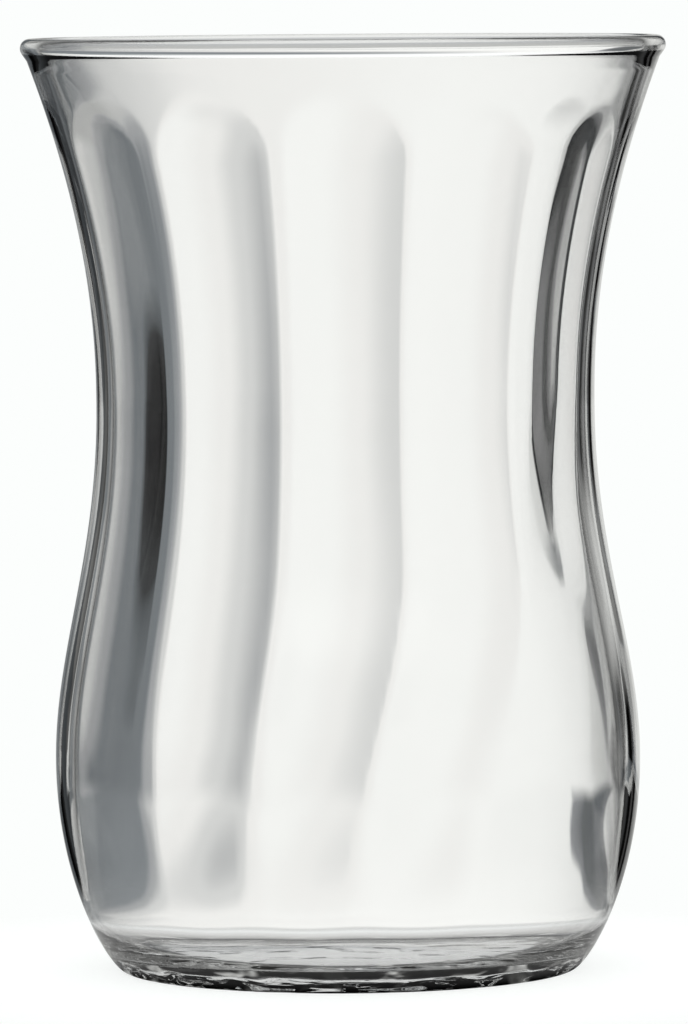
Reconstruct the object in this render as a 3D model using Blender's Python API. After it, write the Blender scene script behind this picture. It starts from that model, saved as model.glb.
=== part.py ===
"""Turkish tea glass: one piece of clear soda-lime glass with twelve optic ribs inside.

The outside is a smooth turned tulip: a flared mouth, a waist, a belly and a flat foot ring.
The origin is the middle of the foot, on the surface that the glass stands on, and +Z is up.
All sizes are in metres.
"""

import math

import bmesh
import bpy
from mathutils import Vector
from mathutils.geometry import interpolate_bezier

MM = 0.001

# The outer tulip, from the lip down
HEIGHT = 84.0 * MM
LIP_RADIUS = 29.0 * MM
LIP_BEAD_RADIUS = 0.88 * MM
LIP_BEAD_START = math.radians(-30)
LIP_BEAD_END = math.radians(210)
MOUTH_HEIGHT = 82.0 * MM
MOUTH_RADIUS = 28.41 * MM
MOUTH_FLARE = 0.377
WAIST_HEIGHT = 50.9 * MM
WAIST_RADIUS = 22.42 * MM
BELLY_HEIGHT = 19.1 * MM
BELLY_RADIUS = 26.36 * MM
FOOT_RADIUS = 20.3 * MM

# How far each bend of the outline reaches before it turns into the next
MOUTH_REACH = 15.4 * MM
WAIST_REACH_UP = 5.4 * MM
WAIST_REACH_DOWN = 13.6 * MM
BELLY_REACH_UP = 9.9 * MM
BELLY_REACH_DOWN = 11.5 * MM
HEEL_REACH = 1.2 * MM

# The wall, the floor and the hollow under the foot
WALL_AT_MOUTH = 1.5 * MM
WALL_AT_WAIST = 2.0 * MM
WALL_AT_BELLY = 2.1 * MM
FLOOR_HEIGHT = 1.3 * MM
FLOOR_RADIUS = 17.5 * MM
FLOOR_RISE = 0.8 * MM
CORNER_REACH_DOWN = 11.0 * MM
CORNER_REACH_OUT = 6.5 * MM
FOOT_RING_WIDTH = 3.4 * MM
PUSH_UP = 1.0 * MM

# The optic ribs: each is thickest along its middle, and its top is a round arch
RIB_COUNT = 12
RIB_DEPTH = 0.3 * MM
RIB_LAND = math.radians(5.6)
RIB_ROUNDNESS = 1.7
RIB_TURN = math.radians(1.5)
RIB_DRIFT = math.radians(-13)
RIB_SKEW = 1.2
DRIFT_START = 38.0 * MM
DRIFT_END = 6.0 * MM
ARCH_TOP = 78.0 * MM
ARCH_LENGTH = 4.4 * MM
RIB_FADE_START = 26.0 * MM
RIB_FADE_END = 3.0 * MM

# How finely the solid is cut
SEGMENTS_PER_RIB = 6
BEAD_STEPS = 8
MOUTH_STEPS = 12
SHOULDER_STEPS = 7
HEEL_STEPS = 6
CORNER_STEPS = 8
FLOOR_STEPS = 2
PUSH_UP_STEPS = 2
MERGE_DISTANCE = 0.001 * MM

GLASS_COLOUR = (0.93, 0.95, 0.94, 1.0)
GLASS_ROUGHNESS = 0.02
GLASS_IOR = 1.52
CREASE_ANGLE = math.radians(40)


def point(radius, height):
    """A point of the turned outline, in the XZ plane."""
    return Vector((radius, 0.0, height))


def bend(start, start_handle, end_handle, end, steps):
    """A smooth stretch of outline, without its first point."""
    return interpolate_bezier(start, start_handle, end_handle, end, steps + 1)[1:]


def lip_bead():
    """The fire-polished edge, from its outer side over the top to its inner side."""
    middle = point(LIP_RADIUS - LIP_BEAD_RADIUS, HEIGHT - LIP_BEAD_RADIUS)
    turn = (LIP_BEAD_END - LIP_BEAD_START) / BEAD_STEPS
    angles = [LIP_BEAD_START + turn * step for step in range(BEAD_STEPS + 1)]
    return [middle + LIP_BEAD_RADIUS * point(math.cos(angle), math.sin(angle)) for angle in angles]


def outer_side():
    """The outside from the mouth down to the foot ring: (points above the belly, points below it)."""
    mouth = point(MOUTH_RADIUS, MOUTH_HEIGHT)
    waist = point(WAIST_RADIUS, WAIST_HEIGHT)
    belly = point(BELLY_RADIUS, BELLY_HEIGHT)
    foot = point(FOOT_RADIUS, 0.0)
    flare = mouth - MOUTH_REACH * point(MOUTH_FLARE, 1.0)
    upper = [mouth]
    upper += bend(mouth, flare, waist + point(0.0, WAIST_REACH_UP), waist, MOUTH_STEPS)
    below_waist = waist - point(0.0, WAIST_REACH_DOWN)
    upper += bend(waist, below_waist, belly + point(0.0, BELLY_REACH_UP), belly, SHOULDER_STEPS)
    below_belly = belly - point(0.0, BELLY_REACH_DOWN)
    lower = bend(belly, below_belly, foot + point(HEEL_REACH, 0.0), foot, HEEL_STEPS)
    return upper, lower


def wall_at(height):
    """The wall's thickness between two ribs, from the belly up to the mouth."""
    if height > WAIST_HEIGHT:
        share = (height - WAIST_HEIGHT) / (MOUTH_HEIGHT - WAIST_HEIGHT)
        return WALL_AT_WAIST + share * (WALL_AT_MOUTH - WALL_AT_WAIST)
    share = (height - BELLY_HEIGHT) / (WAIST_HEIGHT - BELLY_HEIGHT)
    return WALL_AT_BELLY + share * (WALL_AT_WAIST - WALL_AT_BELLY)


def inner_side(upper):
    """The inside, from the mouth down the wall and round the corner to the middle of the floor."""
    inner = [outside - point(wall_at(outside.z), 0.0) for outside in upper]
    belly = inner[-1]
    floor_edge = point(FLOOR_RADIUS, FLOOR_HEIGHT)
    below_belly = belly - point(0.0, CORNER_REACH_DOWN)
    beside_floor = floor_edge + point(CORNER_REACH_OUT, 0.0)
    inner += bend(belly, below_belly, beside_floor, floor_edge, CORNER_STEPS)
    inner += dome(FLOOR_RADIUS, FLOOR_HEIGHT, FLOOR_RISE, FLOOR_STEPS)
    return inner


def dome(radius, height, rise, steps):
    """A shallow dome from its rim to the axis, without its first point: level at both ends."""
    points = []
    for step in range(1, steps + 1):
        share = step / steps
        lift = rise * (1.0 - math.cos(math.pi * share)) / 2.0
        points.append(point(radius * (1.0 - share), height + lift))
    return points


def underside():
    """The flat foot ring and the pushed-up middle, from the ring's outer edge to the axis."""
    ring_inside = FOOT_RADIUS - FOOT_RING_WIDTH
    return [point(ring_inside, 0.0)] + dome(ring_inside, 0.0, PUSH_UP, PUSH_UP_STEPS)


def eased(start, end, value):
    """0 at start and 1 at end, with a soft change between them."""
    share = min(1.0, max(0.0, (value - start) / (end - start)))
    return share * share * (3.0 - 2.0 * share)


def rib_relief(angle, height):
    """How far the rib stands into the cavity at this place of the inner wall.

    Down the belly the ribs drift to one side, so all of them lean towards -X, and those on
    the +X side lean the most.
    """
    pitch = math.tau / RIB_COUNT
    drift = RIB_DRIFT * eased(DRIFT_START, DRIFT_END, height)
    middle = RIB_TURN + drift * math.cos(angle) * (1.0 + RIB_SKEW * math.sin(angle))
    off_middle = (angle - middle + pitch / 2.0) % pitch - pitch / 2.0
    across = off_middle / ((pitch - RIB_LAND) / 2.0)
    along = max(0.0, (height - (ARCH_TOP - ARCH_LENGTH)) / ARCH_LENGTH)
    reach = math.hypot(across, along)
    depth = RIB_DEPTH * eased(RIB_FADE_END, RIB_FADE_START, height)
    return depth * max(0.0, 1.0 - reach**RIB_ROUNDNESS)


def glass_material():
    material = bpy.data.materials.new("clear_soda_lime_glass")
    material.use_nodes = True
    shader = material.node_tree.nodes["Principled BSDF"]
    shader.inputs["Base Color"].default_value = GLASS_COLOUR
    shader.inputs["Metallic"].default_value = 0.0
    shader.inputs["Roughness"].default_value = GLASS_ROUGHNESS
    shader.inputs["IOR"].default_value = GLASS_IOR
    shader.inputs["Transmission Weight"].default_value = 1.0
    return material


def press_ribs(shape):
    """Moves the inner wall, whose faces look at the axis, inwards where a rib stands on it."""
    shape.normal_update()
    for vertex in shape.verts:
        outwards = Vector((vertex.co.x, vertex.co.y, 0.0)).normalized()
        if vertex.normal.dot(outwards) < 0.0:
            vertex.co -= outwards * rib_relief(math.atan2(vertex.co.x, -vertex.co.y), vertex.co.z)


def ribbed_mesh(name, outline):
    """Spins an outline that starts and ends on the axis into one closed body, and presses the ribs."""
    shape = bmesh.new()
    corners = [shape.verts.new(place) for place in outline]
    edges = [shape.edges.new(pair) for pair in zip(corners, corners[1:])]
    bmesh.ops.spin(
        shape,
        geom=corners + edges,
        cent=(0.0, 0.0, 0.0),
        axis=(0.0, 0.0, 1.0),
        angle=math.tau,
        steps=RIB_COUNT * SEGMENTS_PER_RIB,
        use_merge=True,
    )
    bmesh.ops.remove_doubles(shape, verts=shape.verts, dist=MERGE_DISTANCE)
    bmesh.ops.recalc_face_normals(shape, faces=shape.faces)
    press_ribs(shape)
    mesh = bpy.data.meshes.new(name)
    shape.to_mesh(mesh)
    shape.free()
    return mesh


def tea_glass():
    upper, lower = outer_side()
    inside = inner_side(upper)
    outside = lip_bead()[::-1]
    outline = inside[::-1] + outside + upper + lower + underside()
    mesh = ribbed_mesh("glass", outline)
    mesh.materials.append(glass_material())
    mesh.shade_smooth()
    mesh.set_sharp_from_angle(angle=CREASE_ANGLE)
    glass = bpy.data.objects.new("glass", mesh)
    bpy.context.scene.collection.objects.link(glass)
    return glass


for old in list(bpy.data.objects):
    bpy.data.objects.remove(old, do_unlink=True)
tea_glass()
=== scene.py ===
# %% [markdown]
# # A Turkish tea glass
#
# The real thing is one piece of clear glass: a tulip with a flared mouth, a waist and a round
# belly, about 84 mm high. It is blown into a mould, so its inside carries twelve soft ribs, and
# its lip is melted smooth in a flame. Everything that the eye sees in it is light bent by its
# two surfaces, so most of this lesson is about getting those surfaces right.
#
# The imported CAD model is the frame: it gives the size, and the finished glass stands in its place.

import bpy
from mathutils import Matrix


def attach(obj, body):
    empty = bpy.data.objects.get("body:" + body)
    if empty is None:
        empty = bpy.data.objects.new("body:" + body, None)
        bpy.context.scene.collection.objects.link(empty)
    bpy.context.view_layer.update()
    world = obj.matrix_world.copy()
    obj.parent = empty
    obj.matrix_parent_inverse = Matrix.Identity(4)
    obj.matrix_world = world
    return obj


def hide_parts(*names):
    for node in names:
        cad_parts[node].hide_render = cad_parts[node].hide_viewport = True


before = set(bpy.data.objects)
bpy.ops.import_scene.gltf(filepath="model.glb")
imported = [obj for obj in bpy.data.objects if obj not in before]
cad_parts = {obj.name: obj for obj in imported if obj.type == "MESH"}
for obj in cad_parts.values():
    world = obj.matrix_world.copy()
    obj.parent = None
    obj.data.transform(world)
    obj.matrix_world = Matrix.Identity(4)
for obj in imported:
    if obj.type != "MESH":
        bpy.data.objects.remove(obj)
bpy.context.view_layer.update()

# %% The other modules, and a millimetre
import math

import bmesh
import bpy
from mathutils import Matrix, Vector, noise
from mathutils.geometry import interpolate_bezier

MM = 0.001
scene = bpy.context.scene

# %% [markdown]
# ## The outline
#
# A round glass is easiest to describe by half of its cross-section. A modeller could push the
# points of a cylinder about, or trace a picture, but a wavering outline shows at once in clear
# glass. Here each bend is one Bezier curve whose ends are level or upright, so that one bend runs
# smoothly into the next. The inner side is the outer side less the thickness of the wall.

# %% Two helpers that draw in the XZ plane
def point(radius, height):
    return Vector((radius, 0.0, height))


def bend(start, start_handle, end_handle, end, steps):
    """A smooth stretch of outline, without its first point."""
    return interpolate_bezier(start, start_handle, end_handle, end, steps + 1)[1:]


# %% The sizes of the outer tulip
HEIGHT = 84.0 * MM
MOUTH_HEIGHT = 82.0 * MM
WAIST_HEIGHT = 50.9 * MM
BELLY_HEIGHT = 19.1 * MM
MOUTH_RADIUS = 28.41 * MM
WAIST_RADIUS = 22.42 * MM
BELLY_RADIUS = 26.36 * MM
FOOT_RADIUS = 20.3 * MM
MOUTH_FLARE = 0.377

# How far each bend reaches before it turns into the next one
MOUTH_REACH = 15.4 * MM
WAIST_REACH_UP = 5.4 * MM
WAIST_REACH_DOWN = 13.6 * MM
BELLY_REACH_UP = 9.9 * MM
BELLY_REACH_DOWN = 11.5 * MM
HEEL_REACH = 1.2 * MM

# How many points each bend is cut into: one every 0.5 to 0.9 mm
MOUTH_STEPS = 60
SHOULDER_STEPS = 38
HEEL_STEPS = 36
print("height and width:", HEIGHT / MM, "x", round(2.0 * BELLY_RADIUS / MM, 1), "mm at the belly")

# %% The outer tulip, from the mouth down to the foot
mouth = point(MOUTH_RADIUS, MOUTH_HEIGHT)
waist = point(WAIST_RADIUS, WAIST_HEIGHT)
belly = point(BELLY_RADIUS, BELLY_HEIGHT)
foot = point(FOOT_RADIUS, 0.0)

flare = mouth - MOUTH_REACH * point(MOUTH_FLARE, 1.0)
above_waist = waist + point(0.0, WAIST_REACH_UP)
below_waist = waist - point(0.0, WAIST_REACH_DOWN)
above_belly = belly + point(0.0, BELLY_REACH_UP)
under_belly = belly - point(0.0, BELLY_REACH_DOWN)
outer_upper = [mouth] + bend(mouth, flare, above_waist, waist, MOUTH_STEPS)
outer_upper += bend(waist, below_waist, above_belly, belly, SHOULDER_STEPS)
outer_lower = bend(belly, under_belly, foot + point(HEEL_REACH, 0.0), foot, HEEL_STEPS)
print("outer side:", len(outer_upper) + len(outer_lower), "points")

# %% [markdown]
# ## The lip
#
# The cut edge of a blown glass is melted until it draws itself into a small round bead. It is a
# little thicker than the wall below it, and it draws the two bright and dark lines that run
# round the mouth. It is part of the same outline, as an arc of 240 degrees.

# %% The melted lip
LIP_RADIUS = 29.0 * MM
BEAD_RADIUS = 0.88 * MM
BEAD_START = 210.0
BEAD_TURN = 10.0
BEAD_POINTS = 25

bead_middle = point(LIP_RADIUS - BEAD_RADIUS, HEIGHT - BEAD_RADIUS)
bead_angles = [math.radians(BEAD_START - BEAD_TURN * step) for step in range(BEAD_POINTS)]
lip = [bead_middle + BEAD_RADIUS * point(math.cos(angle), math.sin(angle)) for angle in bead_angles]
print("lip top at", round(max(place.z for place in lip) / MM, 2), "mm")


# %% [markdown]
# ## The wall, the floor and the foot
#
# The wall is 1.5 mm thick near the mouth and about 2 mm in the belly. Below the belly the glass
# gathers: the inside turns a round corner on to a floor that is nearly flat. Underneath, the foot
# is a flat ring, and the middle is pushed up a little so that the glass doesn't rock. The flat
# ring is one straight stretch, cut into points that the dimples further down can lift.

# %% The wall, and the shallow domes of the floor and the underside
WALL_AT_MOUTH = 1.5
WALL_AT_WAIST = 2.0
WALL_AT_BELLY = 2.1


def wall_at(height):
    """The wall's thickness between two ribs."""
    if height > WAIST_HEIGHT:
        share = (height - WAIST_HEIGHT) / (MOUTH_HEIGHT - WAIST_HEIGHT)
        return (WALL_AT_WAIST + (WALL_AT_MOUTH - WALL_AT_WAIST) * share) * MM
    share = (height - BELLY_HEIGHT) / (WAIST_HEIGHT - BELLY_HEIGHT)
    return (WALL_AT_BELLY + (WALL_AT_WAIST - WALL_AT_BELLY) * share) * MM


def dome(radius, height, rise, steps):
    """A shallow dome from its rim to the axis, level at both ends, without its first point."""
    points = []
    for step in range(1, steps + 1):
        share = step / steps
        lift = rise * (1.0 - math.cos(math.pi * share)) / 2.0
        points.append(point(radius * (1.0 - share), height + lift))
    return points


print("wall at the waist:", wall_at(WAIST_HEIGHT) / MM, "mm")

# %% The inside, and the underside
INNER_FLOOR_RADIUS = 17.5 * MM
INNER_FLOOR_HEIGHT = 1.3 * MM
INNER_FLOOR_RISE = 0.8 * MM
CORNER_REACH_DOWN = 11.0 * MM
CORNER_REACH_OUT = 6.5 * MM
CORNER_STEPS = 40
FLOOR_STEPS = 12
RING_INSIDE = FOOT_RADIUS - 3.4 * MM
RING_STEPS = 8
PUSH_UP = 1.0 * MM
PUSH_UP_STEPS = 40

floor_edge = point(INNER_FLOOR_RADIUS, INNER_FLOOR_HEIGHT)
beside_floor = floor_edge + point(CORNER_REACH_OUT, 0.0)
inside = [place - point(wall_at(place.z), 0.0) for place in outer_upper]
below_belly = inside[-1] - point(0.0, CORNER_REACH_DOWN)
inside += bend(inside[-1], below_belly, beside_floor, floor_edge, CORNER_STEPS)
inside += dome(INNER_FLOOR_RADIUS, INNER_FLOOR_HEIGHT, INNER_FLOOR_RISE, FLOOR_STEPS)
ring_edge = point(RING_INSIDE, 0.0)
underside = bend(foot, foot, ring_edge, ring_edge, RING_STEPS)
underside += dome(RING_INSIDE, 0.0, PUSH_UP, PUSH_UP_STEPS)
outline = inside[::-1] + lip + outer_upper + outer_lower + underside
print("whole outline:", len(outline), "points")

# %% [markdown]
# ## Spinning it
#
# The spin operator turns the outline round the axis, as a lathe would. With use_merge the last
# turn is joined to the first one. The outline starts and ends on the axis, so the two poles are
# merged to one point each, and then the normals are recalculated to point out of the glass.

# %% One closed body of glass
SEGMENTS = 240
MERGE_DISTANCE = 0.001 * MM

body = bmesh.new()
corners = [body.verts.new(place) for place in outline]
edges = [body.edges.new(pair) for pair in zip(corners, corners[1:])]
bmesh.ops.spin(
    body,
    geom=corners + edges,
    cent=(0.0, 0.0, 0.0),
    axis=(0.0, 0.0, 1.0),
    angle=math.tau,
    steps=SEGMENTS,
    use_merge=True,
)
bmesh.ops.remove_doubles(body, verts=body.verts, dist=MERGE_DISTANCE)
bmesh.ops.recalc_face_normals(body, faces=body.faces)
print("faces after the spin:", len(body.faces))


# %% [markdown]
# ## The optic ribs
#
# The mould has twelve shallow grooves. The glass flows into them, and after the second, smooth
# mould they remain only on the inside: twelve ribs, each 0.3 mm thicker along its middle, with a
# round arch near the mouth. A rib is a weak lens. It can be drawn by moving the points of the
# inner wall towards the axis, which keeps the surface smooth and costs no extra faces.
#
# In the photo the ribs run straight down to the waist and then lean to the left in the belly, at
# the front and at the back alike, so they drift towards -X there and fade out near the floor.
#
# Blown glass is never quite even. Rib 2, at the front right, is narrow, turns a few degrees in the
# waist and is gone below it. Rib 8, at the back left, is wide on one side and has only half its
# depth from the waist down. That makes the two dark lenses in the photo unlike each other. Both
# are written down as what they do differently from an even rib: the right side's width is a share
# of the half width, a turn is in degrees, and each change runs between two heights in millimetres.

# %% The shape of a rib
RIB_COUNT = 12
RIB_PITCH = math.tau / RIB_COUNT
RIB_DEPTH = 0.3 * MM
RIB_HALF_WIDTH = math.radians(12.2)
RIB_TURN = math.radians(1.5)
ARCH_START = 73.6 * MM
ARCH_LENGTH = 4.4 * MM

LEAN_IN_BELLY = math.radians(-13.0)
LEAN_SKEW = 1.2
LEAN_START = 38.0 * MM
LEAN_END = 6.0 * MM
FOOT_FADE_START = 26.0 * MM
FOOT_FADE_END = 3.0 * MM

EVEN_RIB = {
    "right_side": 1.0,
    "roundness": 1.7,
    "turn": 0.0,
    "turned": (1.0, 0.0),
    "lost": 0.0,
    "fades": (1.0, 0.0),
}
OWN_WAYS = {
    2: {
        "right_side": 0.75,
        "roundness": 1.4,
        "turn": -3.5,
        "turned": (54.0, 40.0),
        "lost": 1.0,
        "fades": (40.0, 31.0),
    },
    8: {"right_side": 2.6, "lost": 0.5, "fades": (75.0, 45.0)},
}


def eased(start, end, value):
    """0 at start and 1 at end, with a soft change between them."""
    share = min(1.0, max(0.0, (value - start) / (end - start)))
    return share * share * (3.0 - 2.0 * share)


def changed(heights, height):
    """0 above the first height, given in millimetres, and 1 below the second one."""
    return eased(heights[0] * MM, heights[1] * MM, height)


def rib_relief(angle, height):
    """How far the thickest rib at this place of the inner wall stands into the cavity."""
    lean = LEAN_IN_BELLY * eased(LEAN_START, LEAN_END, height)
    start = RIB_TURN + lean * math.cos(angle) * (1.0 + LEAN_SKEW * math.sin(angle))
    along = max(0.0, (height - ARCH_START) / ARCH_LENGTH)
    full_depth = RIB_DEPTH * eased(FOOT_FADE_END, FOOT_FADE_START, height)
    relief = 0.0
    for number in range(RIB_COUNT):
        way = {**EVEN_RIB, **OWN_WAYS.get(number, {})}
        turn = math.radians(way["turn"]) * changed(way["turned"], height)
        middle = start + number * RIB_PITCH + turn
        off_middle = (angle - middle + math.pi) % math.tau - math.pi
        half_width = RIB_HALF_WIDTH * (way["right_side"] if off_middle > 0.0 else 1.0)
        reach = math.hypot(off_middle / half_width, along)
        depth = full_depth * (1.0 - way["lost"] * changed(way["fades"], height))
        relief = max(relief, depth * (1.0 - reach ** way["roundness"]))
    return relief


print("relief on the front rib at the waist:", round(rib_relief(0.0, WAIST_HEIGHT) / MM, 2), "mm")


# %% Press the ribs
body.normal_update()
pressed = 0
for corner in body.verts:
    outwards = Vector((corner.co.x, corner.co.y, 0.0)).normalized()
    if corner.normal.dot(outwards) < 0.0:
        relief = rib_relief(math.atan2(corner.co.x, -corner.co.y), corner.co.z)
        corner.co -= outwards * relief
        pressed += relief > 0.0
print("points moved by the ribs:", pressed)

# %% [markdown]
# ## The stippled foot
#
# The mould's bottom plate is rough, so the underside isn't clear: it is covered in soft dimples,
# about 3 mm apart and up to a quarter of a millimetre deep. Each one is a small lens, and together
# they turn the foot into a band of dark and bright sparkles. A noise field lifts the points of the
# underside, which gives dimples of uneven size. The outer edge stays on the table.

# %% Lift the underside into dimples
DIMPLE_PITCH = 3.0 * MM
DIMPLE_DEPTH = 0.25 * MM
DIMPLE_RANGE = 0.6
RING_LEFT_FLAT = 0.1 * MM
FULL_DEPTH_IN = 1.0 * MM
LOOKS_DOWN = -0.5
UNDERSIDE_TOP = 1.1 * MM

dimpled = 0
for corner in body.verts:
    across = math.hypot(corner.co.x, corner.co.y)
    under = corner.normal.z < LOOKS_DOWN and corner.co.z < UNDERSIDE_TOP
    if under and across < FOOT_RADIUS - RING_LEFT_FLAT:
        dimple = eased(-DIMPLE_RANGE, DIMPLE_RANGE, noise.noise(corner.co / DIMPLE_PITCH))
        corner.co.z += DIMPLE_DEPTH * dimple * eased(FOOT_RADIUS, FOOT_RADIUS - FULL_DEPTH_IN, across)
        dimpled += 1
print("points of the underside lifted:", dimpled)

# %% [markdown]
# ## The finished mesh
#
# The points carry smooth normals, because light is bent by the normal at each place. A flat face
# would show as a facet in clear glass. Only an edge steeper than the angle below is marked sharp.

# %% The glass object, in the CAD model's place
SHARP_ANGLE = math.radians(40.0)

glass_mesh = bpy.data.meshes.new("tea_glass")
body.to_mesh(glass_mesh)
body.free()
glass_mesh.shade_smooth()
glass_mesh.set_sharp_from_angle(angle=SHARP_ANGLE)
tea_glass = bpy.data.objects.new("tea_glass", glass_mesh)
scene.collection.objects.link(tea_glass)
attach(tea_glass, "root")
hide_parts("glass")
print("triangles:", sum(len(face.vertices) - 2 for face in glass_mesh.polygons))


# %% [markdown]
# ## Colours and nodes
#
# Colours are written as sRGB hex values, as in a paint program. Blender works in linear light, so
# one function turns them. A second one adds a node to a node tree, with its settings and links.

# %% Two helpers for materials
def linear(hex_colour):
    channels = [int(hex_colour[place : place + 2], 16) / 255.0 for place in (1, 3, 5)]
    curved = [value / 12.92 if value <= 0.04045 else ((value + 0.055) / 1.055) ** 2.4 for value in channels]
    return (*curved, 1.0)


def add_node(tree, kind, settings=None, values=None, links=None):
    node = tree.nodes.new(kind)
    for name, value in (settings or {}).items():
        setattr(node, name, value)
    for socket, value in (values or {}).items():
        node.inputs[socket].default_value = value
    for socket, source in (links or {}).items():
        tree.links.new(source, node.inputs[socket])
    return node


print("sRGB #808080 is", round(linear("#808080")[0], 3), "in linear light")

# %% [markdown]
# ## Soda-lime glass, blown and fire-polished
#
# The common glass of bottles and tumblers. Fire leaves its skin perfectly glossy, so the roughness
# is 0, and its index of refraction is about 1.52. The mould leaves slow waves in the skin, some
# 9 mm across and drawn out upwards, a few hundredths of a millimetre deep. They are far too slight
# to model, so a noise bends the normals instead, which is what a bump is.

# %% The glass material
WAVE_WIDTH = 9.0 * MM
WAVE_DEPTH = 0.03 * MM
WAVE_DRAWN_OUT = 0.35
GLASS_IOR = 1.52

clear_glass = bpy.data.materials.new("soda_lime_glass_fire_polished")
clear_glass.use_nodes = True
tree = clear_glass.node_tree
shader = tree.nodes["Principled BSDF"]
shader.inputs["Base Color"].default_value = (1.0, 1.0, 1.0, 1.0)
shader.inputs["Roughness"].default_value = 0.0
shader.inputs["IOR"].default_value = GLASS_IOR
shader.inputs["Transmission Weight"].default_value = 1.0

place = add_node(tree, "ShaderNodeTexCoord").outputs["Object"]
tall = add_node(
    tree,
    "ShaderNodeMapping",
    values={"Scale": (1.0, 1.0, WAVE_DRAWN_OUT)},
    links={"Vector": place},
)
waves = add_node(
    tree,
    "ShaderNodeTexNoise",
    values={"Scale": 1.0 / WAVE_WIDTH, "Detail": 1.0, "Roughness": 0.4},
    links={"Vector": tall.outputs["Vector"]},
)
skin = add_node(
    tree,
    "ShaderNodeBump",
    values={"Strength": 1.0, "Distance": WAVE_DEPTH},
    links={"Height": waves.outputs[0]},
)
tree.links.new(skin.outputs["Normal"], shader.inputs["Normal"])
glass_mesh.materials.append(clear_glass)
print("glass nodes:", len(tree.nodes))

# %% [markdown]
# ## The floor
#
# A round sheet of white card under the glass. Only a plain pale floor is wanted, so its edge is
# faded out with a transparent shader: the card melts into the white backdrop from every side.
#
# Where the foot ring stands on it, hardly any light gets in between, so a dark ring of shade is painted
# into the card's colour, with painted pale patches of light where light creeps in. That painted ring is
# hidden from outside, but the foot's own glass finds it and bends it into the black and bright sparkles
# along its edge. Past the glass only a plain white card is wanted, so a Light Path node keeps the first hit
# on it white.

# %% The card
FLOOR_RADIUS = 55.0 * MM
WHITE = "#fcfefd"

disc = bmesh.new()
bmesh.ops.create_circle(disc, cap_ends=True, segments=96, radius=FLOOR_RADIUS)
floor_mesh = bpy.data.meshes.new("floor")
disc.to_mesh(floor_mesh)
disc.free()
floor = bpy.data.objects.new("floor", floor_mesh)
scene.collection.objects.link(floor)
print("floor radius:", FLOOR_RADIUS / MM, "mm")


# %% A helper that fills a colour ramp
def fill_ramp(node, lowest, highest, stops):
    """Sets a colour ramp's stops from pairs of a real value and a colour."""
    ramp = node.color_ramp
    ramp.interpolation = "EASE"
    while len(ramp.elements) > 1:
        ramp.elements.remove(ramp.elements[-1])
    for index, (value, colour) in enumerate(stops):
        position = (value - lowest) / (highest - lowest)
        stop = ramp.elements[0] if index == 0 else ramp.elements.new(position)
        stop.position = position
        stop.color = linear(colour)


# %% The painted contact shadow: how dark the card is painted at each distance from the middle, in millimetres
PAINTED_SHADE_UNDER_GLASS = [
    (0.0, "#e8e9e8"),
    (16.8, "#e0e1e0"),
    (17.8, "#303030"),
    (18.8, "#0a0a0a"),
    (20.6, "#101010"),
    (21.5, "#8c8c8c"),
    (23.2, "#ccccca"),
    (28.0, "#e0e0df"),
    (36.0, WHITE),
]
CARD_GLOW = 0.75

card = bpy.data.materials.new("white_card")
card.use_nodes = True
tree = card.node_tree
paper = tree.nodes["Principled BSDF"]
paper.inputs["Roughness"].default_value = 0.9
paper.inputs["Specular IOR Level"].default_value = 0.0
paper.inputs["Emission Strength"].default_value = CARD_GLOW
from_middle = add_node(
    tree,
    "ShaderNodeVectorMath",
    settings={"operation": "LENGTH"},
    links={0: add_node(tree, "ShaderNodeTexCoord").outputs["Object"]},
)
out_to = add_node(
    tree,
    "ShaderNodeMapRange",
    values={"From Max": FLOOR_RADIUS},
    links={"Value": from_middle.outputs["Value"]},
)
# Painted shade: this ramp paints the dark contact-shadow ring into the card's colour by distance from the
# middle.
shade = add_node(tree, "ShaderNodeValToRGB", links={0: out_to.outputs["Result"]})
fill_ramp(shade, 0.0, FLOOR_RADIUS / MM, PAINTED_SHADE_UNDER_GLASS)
print("darkest at", min(PAINTED_SHADE_UNDER_GLASS, key=lambda stop: linear(stop[1])[0])[0], "mm from the middle")

# %% Painted pale patches of light in the painted shade ring, and plain white for the camera
PATCH_WIDTH = 4.0 * MM
PATCH_DISTORTION = 0.6
PATCH_EDGE = (0.55, 0.7)
PAINTED_LIGHT_COLOUR = "#e4e5e2"
CARD_DULLNESS = "#a0a0a0"

patches = add_node(
    tree,
    "ShaderNodeTexNoise",
    values={"Scale": 1.0 / PATCH_WIDTH, "Detail": 2.0, "Distortion": PATCH_DISTORTION},
    links={"Vector": add_node(tree, "ShaderNodeTexCoord").outputs["Object"]},
)
painted_light_mask = add_node(
    tree,
    "ShaderNodeMapRange",
    settings={"interpolation_type": "SMOOTHSTEP"},
    values={"From Min": PATCH_EDGE[0], "From Max": PATCH_EDGE[1]},
    links={"Value": patches.outputs[0]},
)
# Painted light: pale patches lighten the painted contact-shadow ring.
painted_shade_and_light = add_node(
    tree,
    "ShaderNodeMix",
    settings={"data_type": "RGBA", "blend_type": "LIGHTEN"},
    values={7: linear(PAINTED_LIGHT_COLOUR)},
    links={0: painted_light_mask.outputs["Result"], 6: shade.outputs["Color"]},
)
seen = add_node(
    tree,
    "ShaderNodeMix",
    settings={"data_type": "RGBA"},
    values={7: linear(WHITE)},
    links={0: add_node(tree, "ShaderNodeLightPath").outputs["Is Camera Ray"], 6: painted_shade_and_light.outputs[2]},
)
# The painted shade and painted light glow through the emission colour, and they darken the base colour as
# well.
tree.links.new(seen.outputs[2], paper.inputs["Emission Color"])
dull = add_node(
    tree,
    "ShaderNodeMix",
    settings={"data_type": "RGBA", "blend_type": "MULTIPLY"},
    values={0: 1.0, 7: linear(CARD_DULLNESS)},
    links={6: seen.outputs[2]},
)
tree.links.new(dull.outputs[2], paper.inputs["Base Color"])
print("patches:", PATCH_WIDTH / MM, "mm wide")

# %% Melt the card's edge into the backdrop
FLOOR_FADE_START = 25.0 * MM

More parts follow.
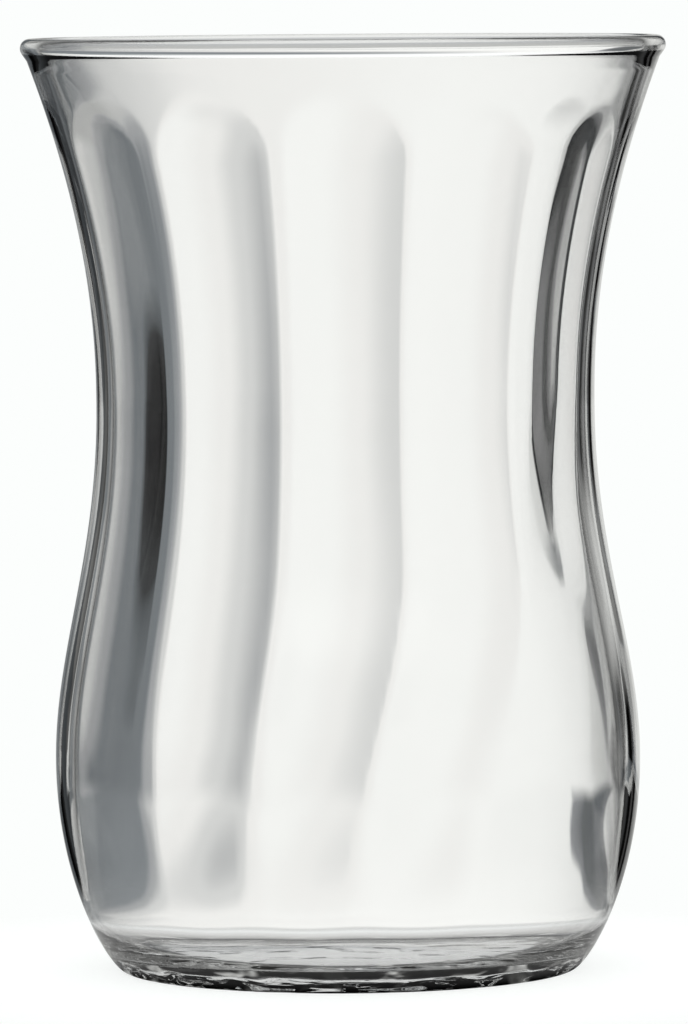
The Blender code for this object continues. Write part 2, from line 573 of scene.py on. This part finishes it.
fade = add_node(
    tree,
    "ShaderNodeMapRange",
    settings={"interpolation_type": "SMOOTHSTEP"},
    values={"From Min": FLOOR_FADE_START, "From Max": FLOOR_RADIUS},
    links={"Value": from_middle.outputs["Value"]},
)
melt = add_node(
    tree,
    "ShaderNodeMixShader",
    links={
        0: fade.outputs["Result"],
        1: paper.outputs["BSDF"],
        2: add_node(tree, "ShaderNodeBsdfTransparent").outputs["BSDF"],
    },
)
tree.links.new(melt.outputs["Shader"], tree.nodes["Material Output"].inputs["Surface"])
floor_mesh.materials.append(card)
print("card nodes:", len(tree.nodes))

# %% [markdown]
# ## The studio light
#
# Clear glass has no colour of its own to light. A studio shows it by what stands around it: a
# bright backdrop behind, and dark cards at both sides, whose edges the glass bends into the
# grey and black lines that draw its shape. Lamps would only add hot spots, so the world itself
# is the studio here: its brightness depends on the direction, from white straight ahead to grey
# and dark at the sides. The same set repeats every 90 degrees, so the glass is well lit from
# any side.
#
# The dark cards stand low, so there are two lists: one for what is seen below a card's upper
# edge and one for what is seen above it. Minus is to the left. A few narrow grey and black strips
# beside a card's edge give a dark lens its black core and its grey margins.

# %% The set around the glass, in degrees to the side and sRGB greys
SET_REACH = 45.0

LOW_SET = [
    (-45.0, "#f2f3f0"),
    (-36.0, "#f2f3f0"),
    (-31.0, "#80868a"),
    (-26.0, "#7c8184"),
    (-24.0, "#3c3d3e"),
    (-20.0, "#0c0c0d"),
    (-18.2, "#101011"),
    (-17.3, "#303132"),
    (-16.6, "#62676a"),
    (-15.8, "#787d80"),
    (-11.0, "#777c7f"),
    (-8.5, "#a2a4a5"),
    (-5.5, "#d2d3d1"),
    (-2.5, "#ecece9"),
    (1.0, "#f3f4f1"),
    (8.0, "#f5f6f3"),
    (13.0, "#f0f1ee"),
    (16.0, "#e2e3e0"),
    (20.2, "#e0e1de"),
    (20.9, "#8e8e8e"),
    (21.8, "#707070"),
    (22.6, "#121211"),
    (25.0, "#141413"),
    (25.9, "#606060"),
    (26.8, "#7a7a7a"),
    (28.4, "#6a6a6a"),
    (29.4, "#121211"),
    (32.0, "#1a1a19"),
    (35.0, "#a0a2a3"),
    (38.0, "#f2f3f0"),
]
HIGH_SET = [
    (-45.0, "#f2f3f0"),
    (-36.0, "#f2f3f0"),
    (-31.0, "#888e91"),
    (-11.0, "#7f8487"),
    (-8.5, "#a2a4a5"),
    (-5.5, "#d2d3d1"),
    (-2.5, "#ecece9"),
    (1.0, "#f3f4f1"),
    (7.0, "#f0f1ee"),
    (8.5, "#8c8e90"),
    (10.5, "#686b6c"),
    (19.0, "#64676a"),
    (21.5, "#7c7e80"),
    (23.0, "#e4e5e2"),
    (45.0, "#f2f3f0"),
]
print("stops in the set:", len(LOW_SET), "low and", len(HIGH_SET), "high")

# %% [markdown]
# ### Reading a direction
#
# A world has no surface: its Generated coordinate is the direction that a ray of light leaves in.
# The arctangent of its X and Y is how far it points to the side, and its Z is how high. The cards
# lean a little, so the angle is sheared by the height, and the shift keeps them where the lists
# say at the height where they are seen best. Wrapping the angle repeats the set. The high part is
# read with a scale that grows with height, so that its greys narrow upwards, as the lenses do.

# %% The world's nodes: how far to the side, and how high
CARD_LEAN = 0.3
SEEN_BEST_AT = math.radians(5.3)
LEAN_SHIFT = CARD_LEAN * SEEN_BEST_AT
SET_LEFT = math.radians(-SET_REACH)
SET_RIGHT = math.radians(SET_REACH)
NARROW_BY_HEIGHT = 0.2
NARROWED = 2.5

world = bpy.data.worlds.new("soft_studio")
scene.world = world
world.use_nodes = True
tree = world.node_tree
tree.nodes.clear()
direction = add_node(
    tree, "ShaderNodeSeparateXYZ", links={0: add_node(tree, "ShaderNodeTexCoord").outputs["Generated"]}
)
around = add_node(
    tree,
    "ShaderNodeMath",
    settings={"operation": "ARCTAN2"},
    links={0: direction.outputs["X"], 1: direction.outputs["Y"]},
)
sheared = add_node(
    tree,
    "ShaderNodeMath",
    settings={"operation": "MULTIPLY_ADD"},
    values={1: -CARD_LEAN},
    links={0: direction.outputs["Z"], 2: around.outputs[0]},
)
sideways = add_node(
    tree,
    "ShaderNodeMath",
    settings={"operation": "WRAP"},
    values={1: SET_RIGHT + LEAN_SHIFT, 2: SET_LEFT + LEAN_SHIFT},
    links={0: sheared.outputs[0]},
)
along_set = add_node(
    tree,
    "ShaderNodeMapRange",
    values={"From Min": SET_LEFT + LEAN_SHIFT, "From Max": SET_RIGHT + LEAN_SHIFT},
    links={"Value": sideways.outputs[0]},
)
low = add_node(tree, "ShaderNodeValToRGB", links={0: along_set.outputs["Result"]})
widening = add_node(
    tree,
    "ShaderNodeMapRange",
    values={"From Max": NARROW_BY_HEIGHT, "To Min": 1.0, "To Max": NARROWED},
    links={"Value": direction.outputs["Z"]},
)
wide = add_node(
    tree,
    "ShaderNodeMath",
    settings={"operation": "MULTIPLY"},
    links={0: sideways.outputs[0], 1: widening.outputs["Result"]},
)
along_high = add_node(
    tree,
    "ShaderNodeMapRange",
    values={"From Min": SET_LEFT, "From Max": SET_RIGHT},
    links={"Value": wide.outputs[0]},
)
high = add_node(tree, "ShaderNodeValToRGB", links={0: along_high.outputs["Result"]})
fill_ramp(low, -SET_REACH, SET_REACH, LOW_SET)
fill_ramp(high, -SET_REACH, SET_REACH, HIGH_SET)
print("the set repeats every", 2.0 * SET_REACH, "degrees")

# %% Join the low and the high part of the set along a leaning edge
EDGE_LEAN = -0.009
EDGE_LOW = math.radians(-2.1)
EDGE_HIGH = math.radians(0.4)

leaning = add_node(
    tree,
    "ShaderNodeMath",
    settings={"operation": "MULTIPLY_ADD"},
    values={1: EDGE_LEAN},
    links={0: sideways.outputs[0], 2: direction.outputs["Z"]},
)
over_edge = add_node(
    tree,
    "ShaderNodeMapRange",
    settings={"interpolation_type": "SMOOTHSTEP"},
    values={"From Min": EDGE_LOW, "From Max": EDGE_HIGH},
    links={"Value": leaning.outputs[0]},
)
cards = add_node(
    tree,
    "ShaderNodeMix",
    settings={"data_type": "RGBA"},
    links={0: over_edge.outputs["Result"], 6: low.outputs["Color"], 7: high.outputs["Color"]},
)
print("the cards' upper edge is soft over", round(math.degrees(EDGE_HIGH - EDGE_LOW), 1), "degrees")

# %% The far edge of the table, behind the foot
TABLE_EDGE_TOP = math.radians(5.0)
TABLE_EDGE_BOTTOM = math.radians(9.0)
TABLE_EDGE_GREY = "#bcbdbb"

behind_foot = add_node(
    tree,
    "ShaderNodeMapRange",
    settings={"interpolation_type": "SMOOTHSTEP"},
    values={"From Min": -math.sin(TABLE_EDGE_TOP), "From Max": -math.sin(TABLE_EDGE_BOTTOM)},
    links={"Value": direction.outputs["Z"]},
)
shaded_cards = add_node(
    tree,
    "ShaderNodeMix",
    settings={"data_type": "RGBA", "blend_type": "DARKEN"},
    values={7: linear(TABLE_EDGE_GREY)},
    links={0: behind_foot.outputs["Result"], 6: cards.outputs[2]},
)
print("table edge:", round(math.degrees(TABLE_EDGE_TOP)), "degrees below level")

# %% Below the set lies the pale table, and a soft white ceiling hangs above it
TABLE_SET = [
    (-1.0, "#ebece9"),
    (-0.55, "#e6e7e5"),
    (-0.42, "#bcbebf"),
    (-0.1, "#b4b6b7"),
    (0.2, WHITE),
    (1.0, WHITE),
]
SET_ENDS_FROM = math.radians(14.0)
SET_ENDS_AT = math.radians(26.0)

away_from_level = add_node(
    tree, "ShaderNodeMapRange", values={"From Min": -1.0}, links={"Value": direction.outputs["Z"]}
)
table = add_node(tree, "ShaderNodeValToRGB", links={0: away_from_level.outputs["Result"]})
fill_ramp(table, -1.0, 1.0, TABLE_SET)
steepness = add_node(
    tree, "ShaderNodeMath", settings={"operation": "ABSOLUTE"}, links={0: direction.outputs["Z"]}
)
off_set = add_node(
    tree,
    "ShaderNodeMapRange",
    settings={"interpolation_type": "SMOOTHSTEP"},
    values={"From Min": math.sin(SET_ENDS_FROM), "From Max": math.sin(SET_ENDS_AT)},
    links={"Value": steepness.outputs[0]},
)
studio = add_node(
    tree,
    "ShaderNodeMix",
    settings={"data_type": "RGBA"},
    links={0: off_set.outputs["Result"], 6: shaded_cards.outputs[2], 7: table.outputs["Color"]},
)
print("the set ends", round(math.degrees(SET_ENDS_AT)), "degrees above and below level")

# %% [markdown]
# ### The dim room
#
# The glass also mirrors the room beside and behind the camera. A white room there would lay a
# grey veil over every dark line, so a studio is kept dim on those sides. Here the lit set goes
# all the way round for the light that only passes through the glass. Mirrored light, which has a
# Glossy Depth, finds everything dim but the backdrop straight ahead, towards +Y: that is what the
# steep sides of the glass mirror, as the bright lines along its edges. The backdrop that the
# camera sees past the glass is plain white.

# %% Dim the mirrored room, and hang the plain backdrop
BACKDROP_STRENGTH = 1.18
ROOM_STRENGTH = 0.08
AHEAD_STRENGTH = 0.8
AHEAD_FROM = 0.75
AHEAD_FULL = 0.9

rays = add_node(tree, "ShaderNodeLightPath")
ahead = add_node(
    tree,
    "ShaderNodeMapRange",
    settings={"interpolation_type": "SMOOTHSTEP"},
    values={
        "From Min": AHEAD_FROM,
        "From Max": AHEAD_FULL,
        "To Min": ROOM_STRENGTH,
        "To Max": AHEAD_STRENGTH,
    },
    links={"Value": direction.outputs["Y"]},
)
mirrored = add_node(
    tree,
    "ShaderNodeMath",
    settings={"operation": "MINIMUM"},
    values={1: 1.0},
    links={0: rays.outputs["Glossy Depth"]},
)
brightness = add_node(
    tree,
    "ShaderNodeMix",
    settings={"data_type": "FLOAT"},
    values={2: BACKDROP_STRENGTH},
    links={0: mirrored.outputs[0], 3: ahead.outputs["Result"]},
)
lit = add_node(
    tree,
    "ShaderNodeBackground",
    links={"Color": studio.outputs[2], "Strength": brightness.outputs[0]},
)
plain = add_node(tree, "ShaderNodeBackground", values={"Color": linear(WHITE)})
either = add_node(
    tree,
    "ShaderNodeMixShader",
    links={
        0: rays.outputs["Is Camera Ray"],
        1: lit.outputs["Background"],
        2: plain.outputs["Background"],
    },
)
add_node(tree, "ShaderNodeOutputWorld", links={"Surface": either.outputs["Shader"]})
print("studio nodes:", len(tree.nodes))

# %% [markdown]
# ## The camera
#
# The photo is taken from just above the rim: the far side of the mouth shows as a thin line above
# the near one. A long lens from 0.78 m keeps both sides of the foot nearly level. Light that has to
# pass many surfaces of glass needs many bounces before it may be given up as black.

# %% The camera at the photo's angle
SENSOR = 36.0
PIXELS_PER_MM = 11.12
PHOTO_HEIGHT = 1024
DISTANCE = 780.0 * MM
LOOK_FROM_ABOVE = math.radians(0.5)
TILT = math.radians(3.6386)
ROLL = math.radians(-0.42)
ASIDE = -0.2 * MM
GLASS_BOUNCES = 24
GLOSSY_BOUNCES = 12

camera_data = bpy.data.cameras.new("camera")
camera_data.sensor_width = SENSOR
camera_data.lens = PIXELS_PER_MM * DISTANCE / MM / PHOTO_HEIGHT * SENSOR
camera = bpy.data.objects.new("camera", camera_data)
scene.collection.objects.link(camera)
above_rim = HEIGHT + DISTANCE * math.tan(LOOK_FROM_ABOVE)
camera.matrix_world = (
    Matrix.Translation((ASIDE, -DISTANCE, above_rim))
    @ Matrix.Rotation(math.radians(90.0) - TILT, 4, "X")
    @ Matrix.Rotation(ROLL, 4, "Z")
)
scene.camera = camera
scene.view_settings.view_transform = "Standard"
scene.cycles.max_bounces = GLASS_BOUNCES
scene.cycles.transmission_bounces = GLASS_BOUNCES
scene.cycles.glossy_bounces = GLOSSY_BOUNCES
print("lens:", round(camera_data.lens, 1), "mm")
